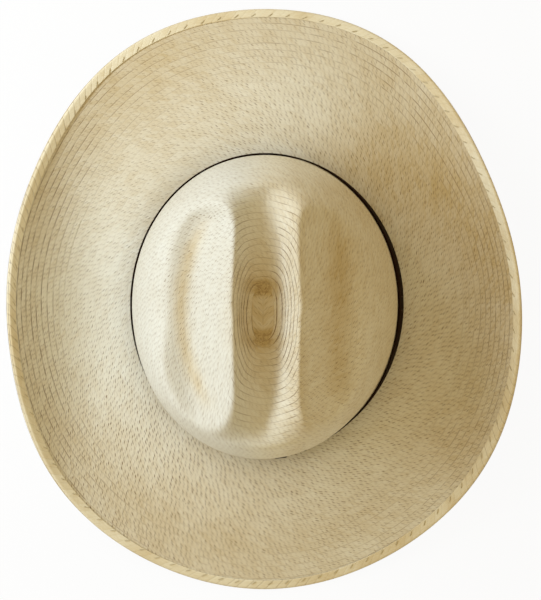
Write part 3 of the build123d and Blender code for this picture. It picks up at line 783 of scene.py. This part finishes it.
# ---- Folded braid at the brim's edge
def fold_section():
    """Distances in from the edge and up from the brim's middle, round the fold from lip to lip."""
    hollow, leg, lip = straw / 2 + fold_gap, straw / 2 + fold_gap + fold_thickness, LIP_ROUNDING
    path = [(fold_width, hollow), (fold_width, leg - lip)]
    for a in np.linspace(0.5, 1.57, 3):
        path.append((fold_width - lip * (1 - math.cos(a)), leg - lip * (1 - math.sin(a))))
    path += [(inward, leg) for inward in np.linspace(fold_width - 2 * lip, leg, 10)]
    path += [(leg * (1 - math.cos(a)), leg * math.sin(a)) for a in np.linspace(1.3, 0, 6)]
    path = np.array(path)
    return np.concatenate([path, path[-2::-1] * (1, -1)])


def make_edge_braid():
    """Braid folded over the brim's edge, with an uneven inner edge and a raised lap at each new leaf."""
    section = fold_section()
    turns = np.linspace(0, 2 * math.pi, EDGE_STEPS)
    length = lengths_along(brim_top(turns, np.ones(EDGE_STEPS)))
    count = int(length[-1] / EDGE_SPACING)
    travel = np.arange(count) * length[-1] / count
    turn, inward, up = np.broadcast_arrays(np.interp(travel, length, turns)[:, None], *section.T)
    laps = round(length[-1] / LEAF_LENGTH) * travel[:, None] / length[-1]
    across = np.clip(inward / fold_width, 0, 1)
    uneven = 0.45 + 0.45 * wander(turn, 0, 31)
    inward = inward - uneven * ramp(across, 0.35, 0.6)
    side = np.where(up >= 0, 1, -1)
    lap = laps - LEAF_SLANT * across * side
    part = np.mod(lap, 1)
    thick = layered(0.10, (0.16, bump(np.minimum(part, 1 - part), 0, 0.05)), (0.05, 1 + wander(turn, 4, 37)))
    up = side * np.maximum(np.abs(up) - thick * ramp(np.abs(up), 0.2, 0.9), 0)
    inward = inward + thick * smooth(1 - across / 0.12)
    place = from_edge(turn, inward, up - straw / 2)
    along = np.broadcast_to(np.linspace(0, 1, len(section)), turn.shape)
    faces = grid_faces(*turn.shape, wrap_rows=True, flip=True)
    make_piece("brim_edge_fold", place, faces, np.stack([lap, along], -1), "edge_braid", "brim_edge_braid")


make_edge_braid()


# ---- Thread
def thread_shape(length, width):
    """One stitch lying along X: a round thread whose ends dive into what it holds."""
    s, a = grid(np.linspace(-1, 1, THREAD_STOPS), circle(THREAD_SIDES))
    size = np.sqrt(np.clip(1 - np.abs(s) ** 4, 0.02, 1))
    ply = 1 - 0.10 * (0.5 + 0.5 * np.cos(3 * a + 9 * s))
    x = s * length / 2
    y = width / 2 * size * ply * np.cos(a)
    z = stitch_height / 2 * (size * ply * np.sin(a) - 0.5 * np.abs(s) ** 3)
    coords = np.stack([x, a / (2 * math.pi)], -1).reshape(-1, 2)
    return np.stack([x, y, z], -1).reshape(-1, 3), grid_faces(*s.shape, wrap_columns=True), coords


def sew(name, seats, slot, node, length=stitch_length, width=stitch_width * 0.75):
    """One thread at each seat, which is a place with the stitch's run and its upward direction."""
    shape, faces, coords = thread_shape(length, width)
    points = [place + shape @ np.stack([along, np.cross(up, along), up]) for place, along, up in seats]
    all_faces = [faces + i * len(shape) for i in range(len(seats))]
    make_piece(name, np.concatenate(points), np.concatenate(all_faces), np.tile(coords, (len(seats), 1)),
               slot, node)


def turned(along, up, degrees):
    """A stitch's run turned about its upward direction."""
    angle = math.radians(degrees)
    return along * math.cos(angle) + np.cross(up, along) * math.sin(angle)


def edge_seats():
    """Seats of the slanted stitches along the folded braid's inner edge."""
    rise = fold_gap + fold_thickness + thread_gap + stitch_height / 2 - STITCH_SINK
    inward = fold_width - stitch_length / 2
    count = int(math.pi * (crown_width + crown_length + 4 * brim_reach) / 2 / stitch_pitch)
    turn = circle(count)
    place, ahead = from_edge(turn, inward, rise), from_edge(turn + TURN_NUDGE, inward, rise)
    up = brim_normals(turn, np.full(count, 1 - inward / brim_reach))
    along = unit(ahead - place)
    return [(p, turned(a, u, stitch_slant), u) for p, a, u in zip(place, along, up)]


sew("edge_thread", edge_seats(), "straw_thread", "brim_edge_stitches")


# ---- Hatband, its keeper and its tacks
def foot_gap(turn):
    """Gap between the crown and the band's lower edge."""
    return band_gap + band_slack * np.maximum(-np.cos(turn), 0) ** 2


def band_frame(turn):
    """Place at the band's lower edge with the outward direction, the run of the band and its inward lean."""
    place, outward = wall_frame(turn, band_lift)
    high, _ = wall_frame(turn, band_lift + band_height)
    inset = ((place - high) * outward).sum(-1) + foot_gap(turn) - band_gap
    return place, outward, np.cross(UPWARD, outward), inset


def rounded(corners, radius):
    """Closed outline with each corner of a four-cornered outline replaced by three points of an arc."""
    path = []
    for k in range(4):
        corner = corners[:, k]
        back, ahead = unit(corners[:, k - 1] - corner), unit(corners[:, (k + 1) % 4] - corner)
        middle = corner + (back + ahead) * radius * ARC_SHARE
        path += [corner + back * radius, middle, corner + ahead * radius]
    return np.stack(path, 1)


def strip(name, place, outward, up, corners, radius, node, length):
    """Leather strip with rounded edges along a line of places. corners are (outward, up) at each place."""
    outline = rounded(corners, radius)
    points = place[:, None] + outward[:, None] * outline[..., :1] + up * outline[..., 1:]
    count, sides = outline.shape[:2]
    faces = grid_faces(count, sides, wrap_columns=True)
    coords = np.stack(grid(length, np.linspace(0, 1, sides)), -1).reshape(-1, 2)
    points, extra = points.reshape(-1, 3), []
    for k, first in enumerate((0, (count - 1) * sides)):
        middle = len(points)
        points = np.concatenate([points, points[first:first + sides].mean(0, keepdims=True)])
        coords = np.concatenate([coords, coords[first:first + 1]])
        ring = first + np.arange(0, sides + 1, 2) % sides
        for a, b, c in zip(ring[:-1], ring[:-1] + 1, ring[1:]):
            extra.append([middle, c, b, a] if k else [middle, a, b, c])
    make_piece(name, points, np.concatenate([faces, extra]), coords, "hatband_leather", node)


def make_hatband():
    """Strap round the crown, whose last stretch climbs over its first."""
    start = math.radians(band_join_turn) - band_lap / crown_width
    lap_turn = 2 * band_lap / crown_width
    travel = np.linspace(0, 2 * math.pi + lap_turn, LOOP_STEPS)
    place, outward, _, inset = band_frame(start + travel)
    climb = ramp(travel, 2 * math.pi - lap_turn, lap_turn)
    inner = foot_gap(start + travel) + (band_thickness + lap_gap) * climb + LEATHER_PLAY
    outer = inner + band_thickness - 2 * LEATHER_PLAY
    low, high = 0 * inner, 0 * inner + band_height
    corners = np.array([(inner, low), (outer, low), (outer - inset, high), (inner - inset, high)])
    strip("hatband_strap", place, outward, UPWARD, corners.transpose(2, 0, 1), STRAP_ROUNDING, "hatband",
          travel * CROWN_RADIUS)


def make_keeper():
    """Loop of leather over the lap, with its two arms turned in towards the crown."""
    turn = math.radians(band_join_turn)
    place, outward, along, inset = band_frame(turn)
    front = foot_gap(turn) + 2 * band_thickness + lap_gap + keeper_gap + keeper_thickness / 2
    low, high = -keeper_gap - keeper_thickness / 2, band_height + keeper_gap + keeper_thickness / 2
    radius = KEEPER_BEND
    path = [(band_gap, low), (front - radius, low)]
    for a in (0.5, 1.05, 1.57):
        path.append((front - radius + radius * math.sin(a), low + radius * (1 - math.cos(a))))
    path += [(front, low + radius + (high - low - 2 * radius) * s) for s in (0.2, 0.5, 0.8)]
    for a in (0, 0.5, 1.05):
        path.append((front - radius + radius * math.cos(a), high - radius + radius * math.sin(a)))
    path += [(front - radius, high), (band_gap, high)]
    path = np.array(path)
    path[:, 0] -= inset / band_height * path[:, 1]
    run = unit(np.gradient(path, axis=0))
    places = place + outward * path[:, :1] + UPWARD * path[:, 1:]
    away = outward * run[:, 1:] - UPWARD * run[:, :1]
    half, thick = keeper_width / 2, keeper_thickness / 2
    corners = [(-thick, -half), (thick, -half), (thick, half), (-thick, half)]
    strip("hatband_keeper_loop", places, away, along, np.broadcast_to(corners, (len(path), 4, 2)),
          LOOP_ROUNDING, "hatband_keeper", np.arange(len(path)) * 1.0)


def tack_seats():
    """Seats of the pairs of upright tacks, half way up the band."""
    seats = []
    for side_turn in tack_turns:
        for side in (-1, 1):
            turn = math.radians(side_turn) + side * tack_spread / crown_width
            place, outward, along, inset = band_frame(turn)
            face = foot_gap(turn) + band_thickness + stitch_height / 2 - inset / 2
            up = unit(UPWARD * band_height - outward * inset)
            middle = place + outward * face + UPWARD * band_height / 2
            seats.append((middle, up, unit(np.cross(along, up))))
    return seats


make_hatband()
make_keeper()
sew("hatband_tacks", tack_seats(), "dark_thread", "hatband_tack_stitches", tack_length, stitch_width * 0.8)


# ---- Sweatband
def make_sweatband():
    """Leather band with rounded edges and slight waves, open at the butt seam at the back."""
    half_gap = seam_gap / crown_width
    turn = np.linspace(math.pi / 2 + half_gap, 2.5 * math.pi - half_gap, LOOP_STEPS)
    outer, inner = -straw - sweatband_gap, -straw - sweatband_gap - sweatband_thickness
    r = SWEATBAND_ROUNDING
    low, high = sweatband_lift, sweatband_lift + sweatband_height
    heights = np.linspace(low + r, high - r, 14)
    section = [(outer, z) for z in heights] + [(outer - r * 0.3, high - 0.1), ((outer + inner) / 2, high)]
    section += [(inner + r * 0.3, high - 0.1)] + [(inner, z) for z in heights[::-1]]
    section += [(inner + r * 0.3, low + 0.1), ((outer + inner) / 2, low), (outer - r * 0.3, low + 0.1)]
    section = np.array(section)
    t, z = np.broadcast_arrays(turn[:, None], section[:, 1])
    place, outward = wall_frame(t, z)
    wave = SWEATBAND_WAVE * wander(t, z * 0.05, 41) * ramp(z, 8, 20)
    place = place + outward * (section[:, 0] + wave)[..., None]
    faces = grid_faces(*t.shape, wrap_columns=True, flip=True)
    ends, count = [], len(section)
    for k, first in enumerate((0, (len(turn) - 1) * count)):
        for j in range(count // 2 - 1):
            quad = [first + j, first + j + 1, first + count - 5 - j, first + count - 4 - j]
            ends.append(quad if k else quad[::-1])
    coords = np.stack([t * CROWN_RADIUS, z], -1)
    make_piece("sweatband_leather", place, np.concatenate([faces, ends]), coords, "sweatband_leather",
               "sweatband")


def make_reed():
    """Round reed under the sweatband's lower edge, with two turns of thread to each millimetre."""
    turn, angle = grid(circle(TURN_STEPS), circle(REED_SIDES))
    radius = reed_diameter / 2
    place, outward = wall_frame(turn, 0.0)
    out = -straw - reed_gap - radius + radius * np.cos(angle)
    z = radius * np.sin(angle) - straw / 2 - break_gap
    place = place + outward * out[..., None] + z[..., None] * UPWARD
    faces = grid_faces(*turn.shape, wrap_rows=True, wrap_columns=True, flip=True)
    coords = np.stack([turn * 2 * CROWN_RADIUS, angle / (2 * math.pi)], -1)
    make_piece("sweatband_reed_binding", place, faces, coords, "reed", "sweatband_reed")


def leather_seat(turn, height, off):
    """Place on the sweatband's inner face, with the run along it, the way up it and the way off it."""
    place, outward = wall_frame(turn, height)
    above, _ = wall_frame(turn, height + 1)
    lean = unit(above - place)
    along = unit(np.cross(outward, lean))
    place = place - outward * (straw + sweatband_gap + sweatband_thickness + off)
    return place, along, lean, np.cross(along, lean)


def sweatband_seats():
    """Seats of the row of stitches along the sweatband's lower edge."""
    count = int(math.pi * (crown_width + crown_length) / 2 / stitch_pitch)
    seats = []
    for i in range(count):
        turn = 2 * math.pi * (i + 0.5) / count + math.pi / 2
        place, along, _, up = leather_seat(turn, sweatband_lift + seam_margin, stitch_height / 2)
        seats.append((place, along, up))
    return seats


def seam_seats():
    """Seats of the crossed stitches up the butt seam, above the bow."""
    low = sweatband_lift + seam_margin + bow_height + seam_stitch_pitch
    high = sweatband_lift + sweatband_height - seam_stitch_pitch / 2
    seats = []
    for i in range(int((high - low) / seam_stitch_pitch) + 1):
        place, along, _, up = leather_seat(math.pi / 2, low + i * seam_stitch_pitch, stitch_height / 2)
        seats.append((place, turned(along, up, stitch_slant if i % 2 else -stitch_slant), up))
    return seats


def make_bow():
    """Ribbon bow over the foot of the seam: two flared loops and a knot wound round their middle."""
    height = sweatband_lift + seam_margin + bow_height / 2
    place, along, lean, up = leather_seat(math.pi / 2, height, bow_gap)
    half, tall, angle = bow_span / 2, bow_thickness * 0.75, math.radians(bow_turn)
    cosine, sine = math.cos(angle), math.sin(angle)
    pieces, faces, coords, start = [], [], [], 0
    angles, stops = np.linspace(0, 2 * math.pi, 33), np.linspace(-1, 1, 9)
    for side in (-1, 1):
        reach = half * (0.5 - 0.5 * np.cos(angles))
        lift = tall / 2 - np.sin(angles) * (tall / 2 - BOW_CLOTH / 2) * np.clip(reach / 3, 0, 1)
        path = np.stack([side * reach * cosine, lift + sine * reach], -1)
        width = bow_height / 6 + (bow_height / 2 - bow_height / 6) * (reach / half) ** 0.8
        crease = BOW_CREASE * np.cos(stops * math.pi * 1.5) * (1 - reach[:, None] / half)
        run = unit(np.gradient(path, axis=0))
        for layer in (-1, 1):
            flat = path + np.stack([-run[:, 1], run[:, 0]], -1) * (HALF_RIBBON * layer)
            points = (place + along * flat[:, None, :1] + lean * (width[:, None] * stops)[..., None]
                      + up * (flat[:, 1:] + crease)[..., None])
            pieces.append(points.reshape(-1, 3))
            faces.append(grid_faces(len(path), len(stops), flip=layer > 0) + start)
            coords.append(np.stack(grid(angles * 4, stops), -1).reshape(-1, 2))
            start += points.size // 3
    turn, run = grid(circle(KNOT_SIDES), stops)
    bulge = 1 - 0.18 * run ** 4
    rib = 1 - 0.04 * np.cos(6 * turn)
    x, y = bow_knot / 2 * run, bow_height / 4 * bulge * rib * np.cos(turn)
    z = bow_thickness / 2 * (1 + 0.96 * bulge * rib * np.sin(turn))
    knot = place + along * x[..., None] + lean * y[..., None] + up * z[..., None]
    pieces.append(knot.reshape(-1, 3))
    faces.append(grid_faces(*turn.shape, wrap_rows=True) + start)
    coords.append(np.stack([turn * 2, run], -1).reshape(-1, 2))
    make_piece("sweatband_bow_ribbon", np.concatenate(pieces), np.concatenate(faces),
               np.concatenate(coords), "bow_ribbon", "sweatband_bow")


make_sweatband()
make_reed()
sew("sweatband_thread", sweatband_seats(), "straw_thread", "sweatband_stitches")
sew("seam_thread", seam_seats(), "straw_thread", "sweatband_seam_stitches")
make_bow()


# ---- Floor and light
FLOOR_SIZE, FLOOR_GREY = 30, 0.82
FLOOR_GLOW = 0.93  # share of plain white that the camera and reflections see, the rest showing shadows
LAMP_PLACE, LAMP_TARGET = (0.528, -0.168, 0.404), (0, 0, 0.05)
LAMP_WIDTH, LAMP_HEIGHT, LAMP_POWER, LAMP_COLOUR = 0.9, 0.17, 3.68, (0.85, 1.01, 1.20)
WORLD_COLOUR, WORLD_STRENGTH = (1.0, 0.84, 0.51, 1), 0.60


def make_floor():
    """Pale floor that the camera and reflections see as nearly white."""
    bpy.ops.mesh.primitive_plane_add(size=FLOOR_SIZE, location=(0, 0, cad_low.z))
    floor = bpy.context.object
    floor.name = "floor"
    m = Material("floor")
    seen = m.most(m.add("LightPath", {}, "Is Camera Ray"), m.add("LightPath", {}, "Is Glossy Ray"))
    diffuse = m.add("BsdfDiffuse", {0: (FLOOR_GREY, FLOOR_GREY, FLOOR_GREY, 1)})
    glow = m.add("Emission", {0: (1, 1, 1, 1), 1: 1.0})
    mix = m.add("MixShader", {0: m.times(seen, FLOOR_GLOW), 1: diffuse, 2: glow})
    m.tree.links.new(mix, m.output.inputs[0])
    floor.data.materials.append(m.material)


def make_light():
    """One soft strip to the wearer's left and a little ahead, and a warm, even surround."""
    lamp = bpy.data.lights.new("key", "AREA")
    lamp.shape, lamp.size, lamp.size_y = "RECTANGLE", LAMP_WIDTH, LAMP_HEIGHT
    lamp.energy, lamp.color = LAMP_POWER, LAMP_COLOUR
    holder = bpy.data.objects.new("key", lamp)
    holder.location = LAMP_PLACE
    holder.rotation_mode = "QUATERNION"
    holder.rotation_quaternion = (Vector(LAMP_PLACE) - Vector(LAMP_TARGET)).to_track_quat("Z", "Y")
    scene.collection.objects.link(holder)
    world = bpy.data.worlds.new("world")
    world.use_nodes = True
    inputs = world.node_tree.nodes["Background"].inputs
    inputs[0].default_value, inputs[1].default_value = WORLD_COLOUR, WORLD_STRENGTH
    scene.world = world


make_floor()
make_light()
